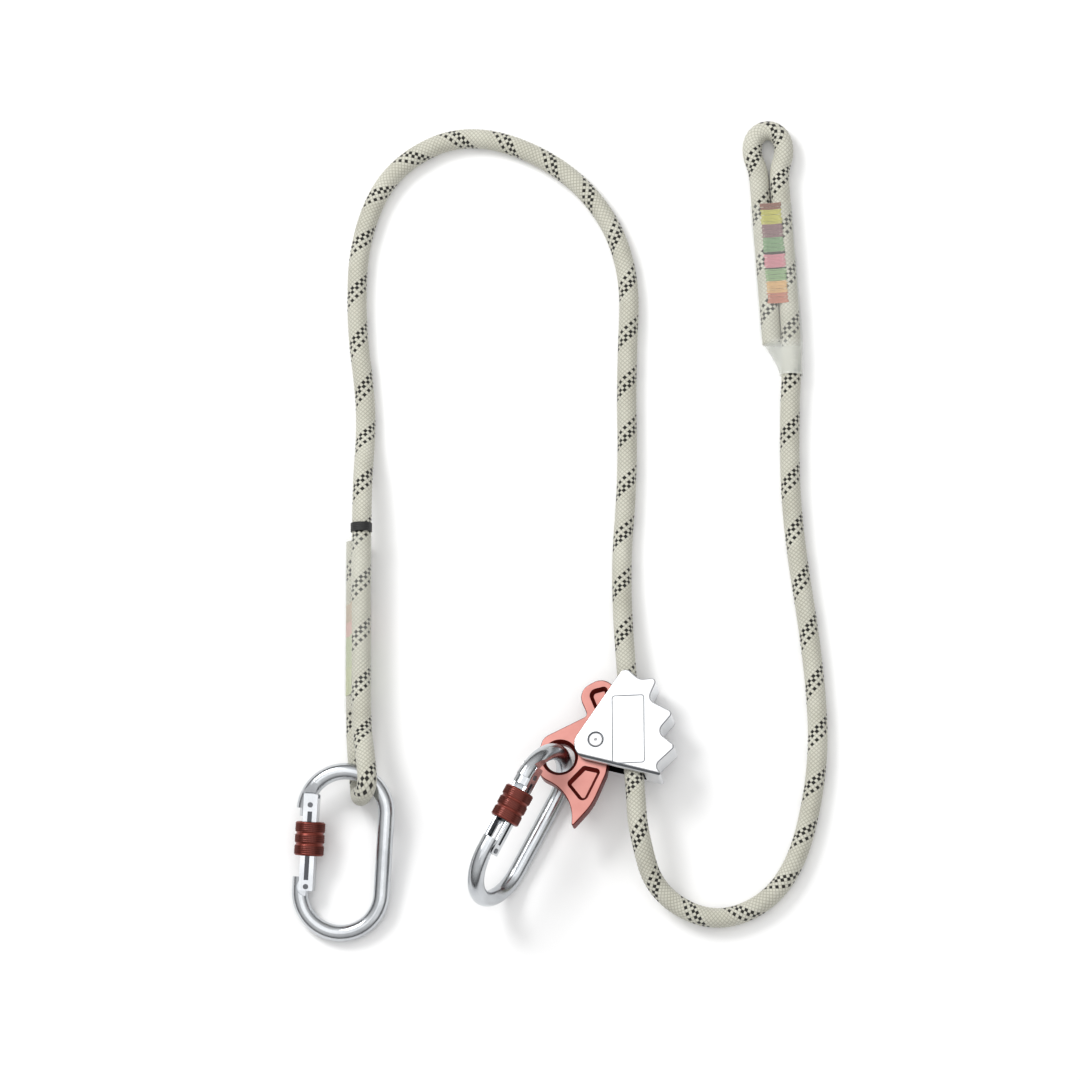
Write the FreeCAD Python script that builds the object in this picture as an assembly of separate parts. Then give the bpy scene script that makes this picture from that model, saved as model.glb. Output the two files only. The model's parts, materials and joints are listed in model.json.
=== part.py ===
import FreeCAD, Part
import math
import os

# Work-positioning rope grab on its lanyard: millimetres, +Z up, laid out on a floor at Z = 0.
# The origin is the middle of the metal hardware, on the floor.
# The rope runs from the lower eye (with connector one), over an arch, through the grab,
# round a low bend and up to the upper eye.  The second connector hangs in the grab's cam.

os.makedirs("parts", exist_ok=True)
V = FreeCAD.Vector

# ---------------------------------------------------------------- rope
ROPE_D = 12.0                  # kernmantle rope
ROPE_R = ROPE_D / 2
FLOOR_AXIS = ROPE_R            # height of the rope's axis where it lies on the floor
THREAD_T = 0.5                 # thickness of a stitched seam round two legs
SLEEVE_T = 0.8                 # wall of the clear shrink sleeve
SOFT_GAP = 0.2                 # air between rope, seam and sleeve
SEAM_INNER = ROPE_R + SOFT_GAP
SLEEVE_INNER = SEAM_INNER + THREAD_T + SOFT_GAP
SEAM_AXIS = ROPE_R + SOFT_GAP + THREAD_T + SOFT_GAP + SLEEVE_T   # rope axis inside a sleeve
ARC_SHARE = 0.45               # share of the shorter run that each bend takes

# ---------------------------------------------------------------- grab
PLATE_T = 4.0                  # side plates
CHANNEL_W = 13.6               # gap between the plates
BODY_HALF = CHANNEL_W / 2 + PLATE_T
ROPE_X = 20.6                  # rope axis, to the right of the cam pivot
CHANNEL_END = ROPE_X + ROPE_R + 0.7    # inner face of the spine
CAM_T = 9.0                    # cam plate
CAM_HALF = CAM_T / 2
LINK_HALF = 0.8                # bar that joins the torsion spring's coils
HOLE_X, HOLE_Y = -23.1, -7.0   # connector hole in the cam
HOLE_R = 9.0
RING_R = 14.0                  # rim round the connector hole
AXLE_R = 4.0
BUSH_R = 5.5
RUN_FIT = 0.05                 # radial clearance of running fits
WASHER_GAP = 0.1
FRONT_WASHER_R = 7.5
REAR_WASHER_R = 5.4
SPRING_WIRE_R = 0.6            # torsion spring of the cam
SPRING_COIL_R = 7.6
SPRING_TURNS = 3
SPRING_LEG = 16.0
SPRING_ROOM_R = 9.4            # recess for the spring in the cam's rear face
SPRING_ROOM_TOP = -2.1
HEAD_R = 4.25                  # peened axle head
HEAD_T = 1.2
HEAD_BEVEL = 0.5
DIMPLE_R = 0.9                 # centre dimple of the head
HEAD_GROOVE = 0.75             # shadow groove round the axle head
BODY_ROUND = 0.9               # rounding of the plates' outer edges
LOWER_BEVEL = (2.2, 1.7)       # bevel of the plates' lower edges: width and depth
PANEL_LINE = 0.6               # width of the engraved border
PANEL_DEPTH = 0.6
PITCH = 8.0                    # the grab leans down towards its upper end, degrees
LEAN = 4.8                     # the rope through the grab leans to the left, degrees
GRAB_ON_ROPE = V(93.5, 35.0, 21.0)   # point of the rope's axis beside the cam pivot

# ---------------------------------------------------------------- connectors
OVAL_L, OVAL_W = 108.0, 60.0   # steel oval connector, outside
BAR_R = 5.0
BEND_R = OVAL_W / 2 - BAR_R    # centreline radius of both ends
STRAIGHT = OVAL_L / 2 - BAR_R - BEND_R   # half length of the straight sides
GATE_X = -21.0                 # gate axis
GATE_W = 8.6
GATE_HALF = 5.05               # half thickness over the folded cheeks
GATE_CORNER = 0.8
CHEEK_T = 1.6
BACK_T = 1.5
GATE_LOW, GATE_HIGH = -24.5, 34.0
BACK_HIGH = 31.5
RAMP_L = 6.5                   # sloping run-out of the nose's flats beyond the gate
LATCH_GAP = 0.3                # air round the latch rivet in the nose's slot
TANG_HALF = 3.3                # flats on the frame's ends, inside the cheeks
HINGE_Y = -22.0
LATCH_Y = 27.5
RIVET_R = 1.6
NOSE_END = 20.5                # where the frame's nose stops
TANG_END = -16.3
NOSE_TURN_R = 6.85             # nose turned down to pass inside the screw sleeve
SCREW_R = 9.0
SCREW_BORE = 7.0
SCREW_L = 20.5
SCREW_LOW = -3.3
SCREW_GROOVE = 0.9
SCREW_ROOM = 5.9               # length of the nose that is turned down for the sleeve
SCREW_CHAMFER = 0.8
GROOVE_SHARES = (0.34, 0.66)   # where the sleeve's grooves lie along its length
GATE_GAP = 0.25                # air between the frame's flats and the gate's back
NOSE_GAP = 0.4                 # air beyond the gate's upper end
HEEL_ROOM_R = 5.7              # cleared round the hinge for the cheeks' lower ends
TANG_LOW = -27.0
SLOT_HALF = 1.4                # long groove pressed in each cheek
SLOT_DEPTH = 0.5
SLOT_END_GAP = 4.0             # from a rivet's axis to the groove's end
PLUNGER_X = GATE_X + 0.2       # axis of the plunger and its spring
PLUNGER_Y = TANG_END + 0.4
PLUNGER_R, PLUNGER_L = 2.6, 9.0
STEM_R, STEM_L = 1.35, 14.0
GATE_COIL_R = 1.9
GATE_WIRE_R = 0.45
GATE_COIL_STEP = 0.82
GATE_COILS = 8
GATE_COIL_Y = -4.0
STOP_Y, STOP_L = 2.6, 3.0
THROUGH = 9.0                  # half length of a cut that goes right through a connector


def rounded_outline(corners):
    """Closed wire through (x, y, radius) corners, each corner rounded by a tangent arc."""
    edges = []
    firsts = []
    lasts = []
    count = len(corners)
    for i in range(count):
        before = V(*corners[i - 1][:2])
        here = V(*corners[i][:2])
        after = V(*corners[(i + 1) % count][:2])
        radius = corners[i][2]
        back = (before - here).normalize()
        ahead = (after - here).normalize()
        half = back.getAngle(ahead) / 2
        reach = radius / math.tan(half)
        bisector = (back + ahead).normalize()
        centre = here + bisector * (radius / math.sin(half))
        start = here + back * reach
        stop = here + ahead * reach
        middle = centre - bisector * radius
        firsts.append(start)
        lasts.append(stop)
        edges.append(Part.Arc(start, middle, stop).toShape())
    loop = []
    for i in range(count):
        loop.append(edges[i])
        loop.append(Part.LineSegment(lasts[i], firsts[(i + 1) % count]).toShape())
    return Part.Wire(loop)


def slab(wire, low, high):
    """Straight plate of a closed outline between two heights."""
    face = Part.Face(wire)
    face.translate(V(0, 0, low))
    return face.extrude(V(0, 0, high - low))


def rod(radius, low, high, x=0.0, y=0.0):
    """Cylinder along Z."""
    return Part.makeCylinder(radius, high - low, V(x, y, low))


def ring(outer, inner, low, high, x=0.0, y=0.0):
    """Washer or bush along Z."""
    return rod(outer, low, high, x, y).cut(rod(inner, low - 1, high + 1, x, y))


def block(x0, x1, y0, y1, z0, z1):
    """Box between two corners."""
    return Part.makeBox(x1 - x0, y1 - y0, z1 - z0, V(x0, y0, z0))


def frame_of(origin, x_axis, y_axis):
    """Placement with the given origin and axes."""
    x_unit = V(x_axis).normalize()
    z_unit = x_unit.cross(y_axis).normalize()
    y_unit = z_unit.cross(x_unit)
    matrix = FreeCAD.Matrix(
        x_unit.x, y_unit.x, z_unit.x, origin.x,
        x_unit.y, y_unit.y, z_unit.y, origin.y,
        x_unit.z, y_unit.z, z_unit.z, origin.z,
        0, 0, 0, 1)
    return FreeCAD.Placement(matrix)


# ---------------------------------------------------------------- placing
CENTRE = V(2.6, -2.5, 0.0)     # middle of the hardware, moved to the origin

lean = math.radians(LEAN)
pitch = math.radians(PITCH)
ACROSS = V(math.cos(lean), math.sin(lean), 0)
ALONG = V(-math.sin(lean) * math.cos(pitch), math.cos(lean) * math.cos(pitch), -math.sin(pitch))
PIVOT = GRAB_ON_ROPE - ACROSS * ROPE_X - CENTRE
GRAB_PLACE = frame_of(PIVOT, ACROSS, ALONG)


def on_rope(distance):
    """Point of the rope's straight stretch, measured along it from the cam pivot."""
    return GRAB_ON_ROPE + ALONG * distance - CENTRE


# ---------------------------------------------------------------- rope route
def at(x, y, z=FLOOR_AXIS):
    """Point of the rope's route."""
    return V(x, y, z) - CENTRE


LEG_RISE = 11.5                # the lower end's standing leg lies this much above its tail
LOWER_TAIL = at(-76.9, 163.0, SEAM_AXIS)
LOWER_SEAM = [at(-76.9, 52.0, SEAM_AXIS), at(-72.0, 52.0, SEAM_AXIS + LEG_RISE)]
LOWER_EYE = at(-69.5, 16.9, 19.8)        # the connector's bar passes here
UPPER_SEAM = [at(191.3, 276.0, SEAM_AXIS), at(184.5, 372.0, SEAM_AXIS)]       # standing leg
UPPER_TAIL = [at(178.8, 280.0, SEAM_AXIS), at(172.2, 371.0, SEAM_AXIS)]       # tail leg

ROUTE = [
    LOWER_TAIL,
    LOWER_SEAM[0],
    at(-75.6, 27.0, 6.4),
    at(-73.9, 10.0, 6.3),
    at(-72.6, 2.4, 14.2),
    at(-69.4, 2.4, 25.4),
    at(-65.1, 10.0, 33.3),
    at(-67.2, 27.0, 29.4),
    LOWER_SEAM[1],
    at(-72.0, 192.0, SEAM_AXIS + LEG_RISE),
    at(-71.5, 226.0),
    at(-71.8, 254.0),
    at(-78.0, 300.0),
    at(-76.5, 354.0),
    at(-56.0, 399.0),
    at(-6.0, 421.0),
    at(58.0, 392.0),
    at(92.5, 337.0),
    at(89.0, 262.0),
    at(90.0, 200.0),
    on_rope(104.0),
    on_rope(-57.0),
    at(107.0, -58.0, 14.0),
    at(146.0, -76.5),
    at(188.0, -52.5),
    at(205.5, 15.0),
    at(203.5, 78.0),
    at(189.5, 170.0),
    at(188.6, 232.0),
    UPPER_SEAM[0],
    UPPER_SEAM[1],
    at(186.4, 388.0, SEAM_AXIS),
    at(186.5, 406.0, SEAM_AXIS),
    at(181.0, 414.2, SEAM_AXIS),
    at(171.5, 414.0, SEAM_AXIS),
    at(166.0, 406.0, SEAM_AXIS),
    at(166.5, 388.0, SEAM_AXIS),
    UPPER_TAIL[1],
    UPPER_TAIL[0],
]


def route_wire(points):
    """Straight runs joined by tangent arcs, each as large as its two runs allow."""
    edges = []
    start = points[0]
    length = 0.0
    for i in range(1, len(points) - 1):
        back = points[i - 1] - points[i]
        ahead = points[i + 1] - points[i]
        reach = ARC_SHARE * min(back.Length, ahead.Length)
        turn = math.pi - back.getAngle(ahead)
        radius = reach / math.tan(turn / 2)
        back.normalize()
        ahead.normalize()
        first = points[i] + back * reach
        last = points[i] + ahead * reach
        inward = (back + ahead).normalize()
        rise = radius / math.cos(turn / 2) - radius
        edges.append(Part.LineSegment(start, first).toShape())
        edges.append(Part.Arc(first, points[i] + inward * rise, last).toShape())
        start = last
        print("bend %2d: radius %7.1f mm, turn %5.1f degrees" % (i, radius, math.degrees(turn)))
    edges.append(Part.LineSegment(start, points[-1]).toShape())
    for edge in edges:
        length += edge.Length
    return Part.Wire(edges), length


def make_rope():
    """The whole rope as one tube."""
    wire, length = route_wire(ROUTE)
    direction = ROUTE[1] - ROUTE[0]
    circle = Part.Wire(Part.makeCircle(ROPE_R, ROUTE[0], direction))
    solid = wire.makePipeShell([circle], True, False, 0)
    section = math.pi * ROPE_R ** 2
    print("rope length %.0f mm, volume %.0f, section x length %.0f, valid %s"
          % (length, solid.Volume, section * length, solid.isValid()))
    return solid


def stadium(first, second, radius, direction):
    """Closed outline of the given radius round two parallel legs."""
    side = (second - first).normalize()
    up = direction.cross(side).normalize()
    a = first + up * radius
    b = second + up * radius
    c = second + side * radius
    d = second - up * radius
    e = first - up * radius
    f = first - side * radius
    return Part.Wire([
        Part.LineSegment(a, b).toShape(), Part.Arc(b, c, d).toShape(),
        Part.LineSegment(d, e).toShape(), Part.Arc(e, f, a).toShape()])


def leg_tube(first, second, direction, length, inner, wall):
    """Sleeve or seam round two parallel legs, along their direction."""
    outer = Part.Face(stadium(first, second, inner + wall, direction)).extrude(direction * length)
    return outer.cut(Part.Face(stadium(first, second, inner, direction)).extrude(direction * length))


LOWER_SLEEVE = (57.0, 108.5)             # start along Y and length
LOWER_SEAMS = (68.0, 84.0, 100.0, 116.0)
LOWER_SEAM_L = 13.0
LOWER_BAND = (167.0, 5.5)
UPPER_SLEEVE = (5.0, 94.0)               # stations along the standing leg
UPPER_SEAM_START = 34.0
UPPER_SEAM_STEP = 5.8
UPPER_SEAM_L = 5.2
UPPER_SEAM_COUNT = 10
ALONG_Y = V(0, 1, 0)
STANDING = (UPPER_SEAM[1] - UPPER_SEAM[0]).normalize()
TAIL = (UPPER_TAIL[1] - UPPER_TAIL[0]).normalize()


def lower_legs(y):
    """The two legs of the lower termination at a station."""
    station = y - CENTRE.y
    return V(LOWER_SEAM[0].x, station, LOWER_SEAM[0].z), V(LOWER_SEAM[1].x, station, LOWER_SEAM[1].z)


def make_lower_sleeve():
    """Clear sleeve over the two stacked legs of the lower termination."""
    start, length = LOWER_SLEEVE
    first, second = lower_legs(start)
    return leg_tube(first, second, ALONG_Y, length, SLEEVE_INNER, SLEEVE_T)


def make_lower_seam():
    """Stitched seam that joins the two legs of the lower termination."""
    seams = []
    for y in LOWER_SEAMS:
        first, second = lower_legs(y)
        seams.append(leg_tube(first, second, ALONG_Y, LOWER_SEAM_L, SEAM_INNER, THREAD_T))
    return Part.makeCompound(seams)


def make_lower_band():
    """Black binding where the lower sleeve ends on the standing rope."""
    start, width = LOWER_BAND
    centre = lower_legs(start)[1]
    outer = Part.makeCylinder(SEAM_INNER + THREAD_T, width, centre, ALONG_Y)
    return outer.cut(Part.makeCylinder(SEAM_INNER, width, centre, ALONG_Y))


def upper_legs(distance):
    """The two legs of the upper termination, at a distance along the standing leg."""
    second = UPPER_SEAM[0] + STANDING * distance
    share = (second - UPPER_TAIL[0]).dot(STANDING) / TAIL.dot(STANDING)
    return UPPER_TAIL[0] + TAIL * share, second


def make_upper_sleeve():
    """Clear sleeve over the two legs of the upper termination."""
    shells = []
    for radius in (SLEEVE_INNER + SLEEVE_T, SLEEVE_INNER):
        ends = []
        for distance in UPPER_SLEEVE:
            first, second = upper_legs(distance)
            ends.append(stadium(first, second, radius, STANDING))
        shells.append(Part.makeLoft(ends, True, True))
    return shells[0].cut(shells[1])


def make_upper_seam():
    """Stitched seam of thread blocks that joins the legs of the upper termination."""
    seams = []
    for i in range(UPPER_SEAM_COUNT):
        first, second = upper_legs(UPPER_SEAM_START + UPPER_SEAM_STEP * i)
        seams.append(leg_tube(first, second, STANDING, UPPER_SEAM_L, SEAM_INNER, THREAD_T))
    return Part.makeCompound(seams)


# ---------------------------------------------------------------- grab, in its own frame
BODY_CORNERS = [
    (-19.5, -6.4, 9.6),
    (38.8, -27.4, 1.4),
    (34.6, -19.5, 4.0),
    (47.8, -9.0, 2.4),
    (37.2, 1.2, 5.0),
    (48.0, 12.2, 2.4),
    (33.2, 21.8, 5.0),
    (40.2, 35.2, 2.4),
    (29.4, 34.6, 7.0),
    (20.6, 44.2, 4.0),
]
PANEL = (20.1, 4.4, 19.8, 42.8, -3.6)     # engraved border: centre, size, turn
PANEL_CORNER = 1.8


def flat_edges(solid):
    """Edges that lie flat, round the two faces of a plate."""
    edges = []
    for edge in solid.Edges:
        if edge.BoundBox.ZLength < 0.01:
            edges.append(edge)
    return edges


def panel_outline(inset):
    """Rounded rectangle of the engraved border, drawn in by an inset."""
    cx, cy, wide, tall, turn = PANEL
    x = wide / 2 - inset
    y = tall / 2 - inset
    corner = PANEL_CORNER - inset
    wire = rounded_outline([(-x, -y, corner), (x, -y, corner), (x, y, corner), (-x, y, corner)])
    wire.rotate(V(0, 0, 0), V(0, 0, 1), turn)
    wire.translate(V(cx, cy, 0))
    return wire


def lower_bevel():
    """Wedge that bevels the front plate's lower edge."""
    start = V(*BODY_CORNERS[0][:2])
    run = V(*BODY_CORNERS[1][:2]) - start
    along = V(run).normalize()
    out = along.cross(V(0, 0, 1))
    width, depth = LOWER_BEVEL
    slope = out * width - V(0, 0, depth)
    top = start - out * width + V(0, 0, BODY_HALF) - along * width
    a = top - slope
    b = top + slope * 2
    c = b + V(0, 0, 3 * depth)
    wedge = Part.Face(Part.makePolygon([a, b, c, a]))
    return wedge.extrude(along * (run.Length + 2 * width))


def make_grab_body():
    """U-section body: two side plates and the scalloped spine in one piece."""
    body = slab(rounded_outline(BODY_CORNERS), -BODY_HALF, BODY_HALF)
    body = body.makeFillet(BODY_ROUND, flat_edges(body))
    wedge = lower_bevel()
    body = body.cut(wedge).cut(wedge.mirror(V(0, 0, 0), V(0, 0, 1)))
    body = body.cut(block(-40, CHANNEL_END, -60, 60, -CHANNEL_W / 2, CHANNEL_W / 2))
    body = body.cut(rod(AXLE_R + RUN_FIT, -BODY_HALF - 1, BODY_HALF + 1))
    for low in (-BODY_HALF, BODY_HALF - HEAD_T):
        body = body.cut(rod(HEAD_R + HEAD_GROOVE, low, low + HEAD_T))
    groove = slab(panel_outline(0), BODY_HALF - PANEL_DEPTH, BODY_HALF + 1)
    return body.cut(groove.cut(slab(panel_outline(PANEL_LINE), BODY_HALF - 1, BODY_HALF + 2)))


def make_axle():
    """Riveted axle of the cam, flush in both plates."""
    axle = rod(AXLE_R, -BODY_HALF, BODY_HALF)
    for low in (-BODY_HALF, BODY_HALF - HEAD_T):
        axle = axle.fuse(rod(HEAD_R, low, low + HEAD_T))
    axle = axle.removeSplitter()
    rims = []
    for edge in flat_edges(axle):
        if abs(edge.CenterOfMass.z) > BODY_HALF - 0.01:
            rims.append(edge)
    axle = axle.makeChamfer(HEAD_BEVEL, rims)
    return axle.cut(Part.makeCone(0, DIMPLE_R, DIMPLE_R, V(0, 0, BODY_HALF - DIMPLE_R)))


CAM_CORNERS = [
    (-33.0, 6.2, 8.0),
    (-4.4, 17.4, 2.5),
    (-9.8, 33.4, 9.0),
    (6.0, 40.6, 9.0),
    (13.6, 33.5, 3.0),
    (14.2, 21.0, 14.0),
    (9.6, 3.0, 8.0),
    (4.2, -20.0, 6.0),
    (-5.5, -38.5, 40.0),
    (-19.2, -51.6, 0.9),
    (-16.2, -30.0, 26.0),
    (-38.0, -17.0, 10.0),
]
LOWER_POCKET = [(-9.0, -13.6, 2.6), (-20.4, -23.6, 2.8), (-10.6, -38.6, 3.6), (1.8, -17.2, 2.6)]
EAR_POCKET = [(-3.8, 33.0, 4.4), (8.6, 35.0, 2.6), (9.6, 22.0, 2.6), (0.6, 19.6, 2.6)]
POCKET_DEPTH = 2.8
POCKET_SLOPE = 2.2             # width of the sloping wall round a pocket's floor
CAM_ROUND = 0.7
HOLE_FLARE = 2.2               # flare at both ends of the connector hole
TOOTH_R = 0.45                 # grooves of the gripping nose
TOOTH_STEP = 1.7
TOOTH_COUNT = 7
NOSE_X, NOSE_Y = 14.62, 19.4
NOSE_CROWN = 0.012             # the nose is crowned: each groove steps back as it leaves the middle


def pocket_tool(corners):
    """Pocket in the cam's front face, with sloping walls round its floor."""
    tool = slab(rounded_outline(corners), CAM_HALF - POCKET_DEPTH, CAM_HALF + 1)
    rim = []
    for edge in flat_edges(tool):
        if edge.CenterOfMass.z < CAM_HALF:
            rim.append(edge)
    return tool.makeChamfer(POCKET_SLOPE, rim)


def make_cam():
    """Cam lever: connector ring, thumb ear with the gripping nose, and the release lever."""
    cam = slab(rounded_outline(CAM_CORNERS), -CAM_HALF, CAM_HALF)
    cam = cam.fuse(rod(RING_R, -CAM_HALF, CAM_HALF, HOLE_X, HOLE_Y)).removeSplitter()
    cam = cam.makeFillet(CAM_ROUND, flat_edges(cam))
    cam = cam.cut(rod(HOLE_R, -CAM_HALF - 1, CAM_HALF + 1, HOLE_X, HOLE_Y))
    for side in (-1, 1):
        cam = cam.cut(Part.makeCone(HOLE_R, HOLE_R + HOLE_FLARE, HOLE_FLARE,
                                    V(HOLE_X, HOLE_Y, side * (CAM_HALF - HOLE_FLARE)), V(0, 0, side)))
    for corners in (LOWER_POCKET, EAR_POCKET):
        tool = pocket_tool(corners)
        cam = cam.cut(tool).cut(tool.mirror(V(0, 0, 0), V(0, 0, 1)))
    cam = cam.cut(rod(BUSH_R, -CAM_HALF - 1, CAM_HALF + 1))
    cam = cam.cut(ring(SPRING_ROOM_R, BUSH_R - 1, -CAM_HALF - 1, SPRING_ROOM_TOP))
    for i in range(TOOTH_COUNT):
        from_middle = i - TOOTH_COUNT // 2
        cam = cam.cut(rod(TOOTH_R, -CAM_HALF - 1, CAM_HALF + 1,
                          NOSE_X - NOSE_CROWN * from_middle ** 2, NOSE_Y + TOOTH_STEP * i))
    return cam


def make_cam_bush():
    """Bronze bush pressed into the cam's hub."""
    return ring(BUSH_R, AXLE_R + RUN_FIT, -CAM_HALF, CAM_HALF)


def make_washers():
    """Two washers that centre the cam between the plates."""
    front = ring(FRONT_WASHER_R, AXLE_R + RUN_FIT, CAM_HALF + WASHER_GAP, CHANNEL_W / 2)
    rear = ring(REAR_WASHER_R, AXLE_R + RUN_FIT, -CHANNEL_W / 2, -CAM_HALF - WASHER_GAP)
    return Part.makeCompound([front, rear])


def make_cam_spring():
    """Torsion spring round the hub, in the cam's rear recess; one leg lies along the plate."""
    first = -CHANNEL_W / 2 + WASHER_GAP + SPRING_WIRE_R
    step = 2 * SPRING_WIRE_R + 0.04
    spring = Part.makeCylinder(SPRING_WIRE_R, SPRING_LEG, V(SPRING_COIL_R, 0, first), V(0.25, 1, 0))
    for i in range(SPRING_TURNS):
        spring = spring.fuse(Part.makeTorus(SPRING_COIL_R, SPRING_WIRE_R, V(0, 0, first + step * i)))
    half = SPRING_WIRE_R / 2
    top = first + step * (SPRING_TURNS - 1)
    link = block(-SPRING_COIL_R - half, -SPRING_COIL_R + half, -LINK_HALF, LINK_HALF, first, top)
    return spring.fuse(link)


# ---------------------------------------------------------------- connector, in its own frame
def bent_bar():
    """Round bar bent to an oval, open between the nose and the hinge."""
    right_top = V(BEND_R, STRAIGHT, 0)
    right_low = V(BEND_R, -STRAIGHT, 0)
    left_top = V(-BEND_R, STRAIGHT, 0)
    left_low = V(-BEND_R, -STRAIGHT, 0)
    nose = V(-BEND_R, NOSE_END, 0)
    spine = Part.Wire([
        Part.LineSegment(nose, left_top).toShape(),
        Part.Arc(left_top, V(0, STRAIGHT + BEND_R, 0), right_top).toShape(),
        Part.LineSegment(right_top, right_low).toShape(),
        Part.Arc(right_low, V(0, -STRAIGHT - BEND_R, 0), left_low).toShape(),
        Part.LineSegment(left_low, V(-BEND_R, TANG_END, 0)).toShape()])
    circle = Part.Wire(Part.makeCircle(BAR_R, nose, V(0, 1, 0)))
    return spine.makePipeShell([circle], True, False, 0)


def cheek_room(side):
    """What one cheek of the gate needs cleared from the frame, with the nose's run-out."""
    low_z = min(side * TANG_HALF, side * THROUGH)
    high_z = max(side * TANG_HALF, side * THROUGH)
    left = GATE_X - GATE_W / 2 - GATE_GAP
    foot = V(-2 * BAR_R - BEND_R, GATE_HIGH + NOSE_GAP, side * TANG_HALF)
    slope = V(0, RAMP_L, side * (BAR_R - TANG_HALF))
    ramp = Part.Face(Part.makePolygon([foot, foot + slope * 1.5, foot + V(0, 0, side * 3 * BAR_R), foot]))
    return [
        block(left, 0, HINGE_Y, GATE_HIGH + NOSE_GAP, low_z, high_z),
        rod(HEEL_ROOM_R, low_z, high_z, GATE_X, HINGE_Y),
        ramp.extrude(V(BEND_R + 2 * BAR_R, 0, 0))]


def along_gate(radius, low, length, x=GATE_X):
    """Cylinder along the gate's length."""
    return Part.makeCylinder(radius, length, V(x, low, 0), V(0, 1, 0))


def make_frame():
    """Steel bar bent to an oval, with a flattened nose and a flattened hinge tang."""
    inner = GATE_X + GATE_W / 2 - BACK_T - GATE_GAP
    body = bent_bar()
    body = body.fuse(block(-BEND_R, inner, NOSE_END, GATE_HIGH - 1, -TANG_HALF, TANG_HALF))
    body = body.fuse(block(-BEND_R, GATE_X, TANG_LOW, TANG_END, -TANG_HALF, TANG_HALF))
    body = body.fuse(rod(inner - GATE_X, -TANG_HALF, TANG_HALF, GATE_X, HINGE_Y))
    body = body.fuse(block(GATE_X, inner, HINGE_Y, TANG_END - 2.5, -TANG_HALF, TANG_HALF))
    for side in (-1, 1):
        for room in cheek_room(side):
            body = body.cut(room)
    sleeve_room = along_gate(2 * SCREW_BORE, NOSE_END - 1, SCREW_ROOM)
    body = body.cut(sleeve_room.cut(along_gate(NOSE_TURN_R, NOSE_END - 1, SCREW_ROOM)))
    slot = RIVET_R + LATCH_GAP
    body = body.cut(block(GATE_X - slot, 0, LATCH_Y - slot, LATCH_Y + slot, -THROUGH, THROUGH))
    body = body.cut(block(inner, 0, NOSE_END - 1, BACK_HIGH + 0.6, -THROUGH, THROUGH))
    return body.cut(rod(RIVET_R + RUN_FIT, -THROUGH, THROUGH, GATE_X, HINGE_Y))


def make_gate():
    """Gate folded from steel strip: two cheeks and a back that faces into the oval."""
    x0 = GATE_X - GATE_W / 2
    x1 = GATE_X + GATE_W / 2
    cheek = rounded_outline([(x0, GATE_LOW, GATE_CORNER), (x1, GATE_LOW, GATE_CORNER),
                             (x1, GATE_HIGH, GATE_CORNER), (x0, GATE_HIGH, GATE_CORNER)])
    gate = slab(cheek, GATE_HALF - CHEEK_T, GATE_HALF).fuse(slab(cheek, -GATE_HALF, -GATE_HALF + CHEEK_T))
    gate = gate.fuse(block(x1 - BACK_T, x1, GATE_LOW, BACK_HIGH, -GATE_HALF, GATE_HALF))
    gate = gate.removeSplitter()
    for y in (HINGE_Y, LATCH_Y):
        gate = gate.cut(rod(RIVET_R, -THROUGH, THROUGH, GATE_X, y))
    for low in (-GATE_HALF, GATE_HALF - SLOT_DEPTH):
        gate = gate.cut(block(GATE_X - SLOT_HALF, GATE_X + SLOT_HALF,
                              HINGE_Y + SLOT_END_GAP, LATCH_Y - SLOT_END_GAP, low, low + SLOT_DEPTH))
    return gate


def make_gate_rivet(y):
    """Rivet across the gate, its ends standing just proud of both cheeks."""
    return rod(RIVET_R, -GATE_HALF - 0.5, GATE_HALF + 0.5, GATE_X, y)


def make_gate_spring():
    """Coil spring inside the gate, behind the plunger that pushes on the hinge tang."""
    spring = Part.Shape()
    for i in range(GATE_COILS):
        centre = V(PLUNGER_X, GATE_COIL_Y + GATE_COIL_STEP * i, 0)
        coil = Part.makeTorus(GATE_COIL_R, GATE_WIRE_R, centre, V(0, 1, 0))
        spring = coil if i == 0 else spring.fuse(coil)
    return spring


def make_plunger():
    """Plunger that the gate spring pushes onto the hinge tang."""
    head = along_gate(PLUNGER_R, PLUNGER_Y, PLUNGER_L, PLUNGER_X)
    return head.fuse(along_gate(STEM_R, PLUNGER_Y, STEM_L, PLUNGER_X))


def make_spring_stop():
    """Crimped cup that closes the spring's upper end inside the gate."""
    return along_gate(PLUNGER_R, STOP_Y, STOP_L, PLUNGER_X)


def make_screw_sleeve():
    """Knurled screw sleeve with two turned grooves."""
    sleeve = along_gate(SCREW_R, SCREW_LOW, SCREW_L)
    rims = []
    for edge in sleeve.Edges:
        if edge.Curve.TypeId == "Part::GeomCircle":
            rims.append(edge)
    sleeve = sleeve.makeChamfer(SCREW_CHAMFER, rims)
    for share in GROOVE_SHARES:
        centre = V(GATE_X, SCREW_LOW + share * SCREW_L, 0)
        sleeve = sleeve.cut(Part.makeTorus(SCREW_R + 0.1, SCREW_GROOVE, centre, V(0, 1, 0)))
    return sleeve.cut(along_gate(SCREW_BORE, SCREW_LOW - 1, SCREW_L + 2))


CONNECTOR_PIECES = {
    "frame": make_frame,
    "gate": make_gate,
    "gate_hinge_rivet": lambda: make_gate_rivet(HINGE_Y),
    "gate_latch_rivet": lambda: make_gate_rivet(LATCH_Y),
    "gate_spring": make_gate_spring,
    "gate_plunger": make_plunger,
    "gate_spring_stop": make_spring_stop,
    "screw_sleeve": make_screw_sleeve,
}


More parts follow.
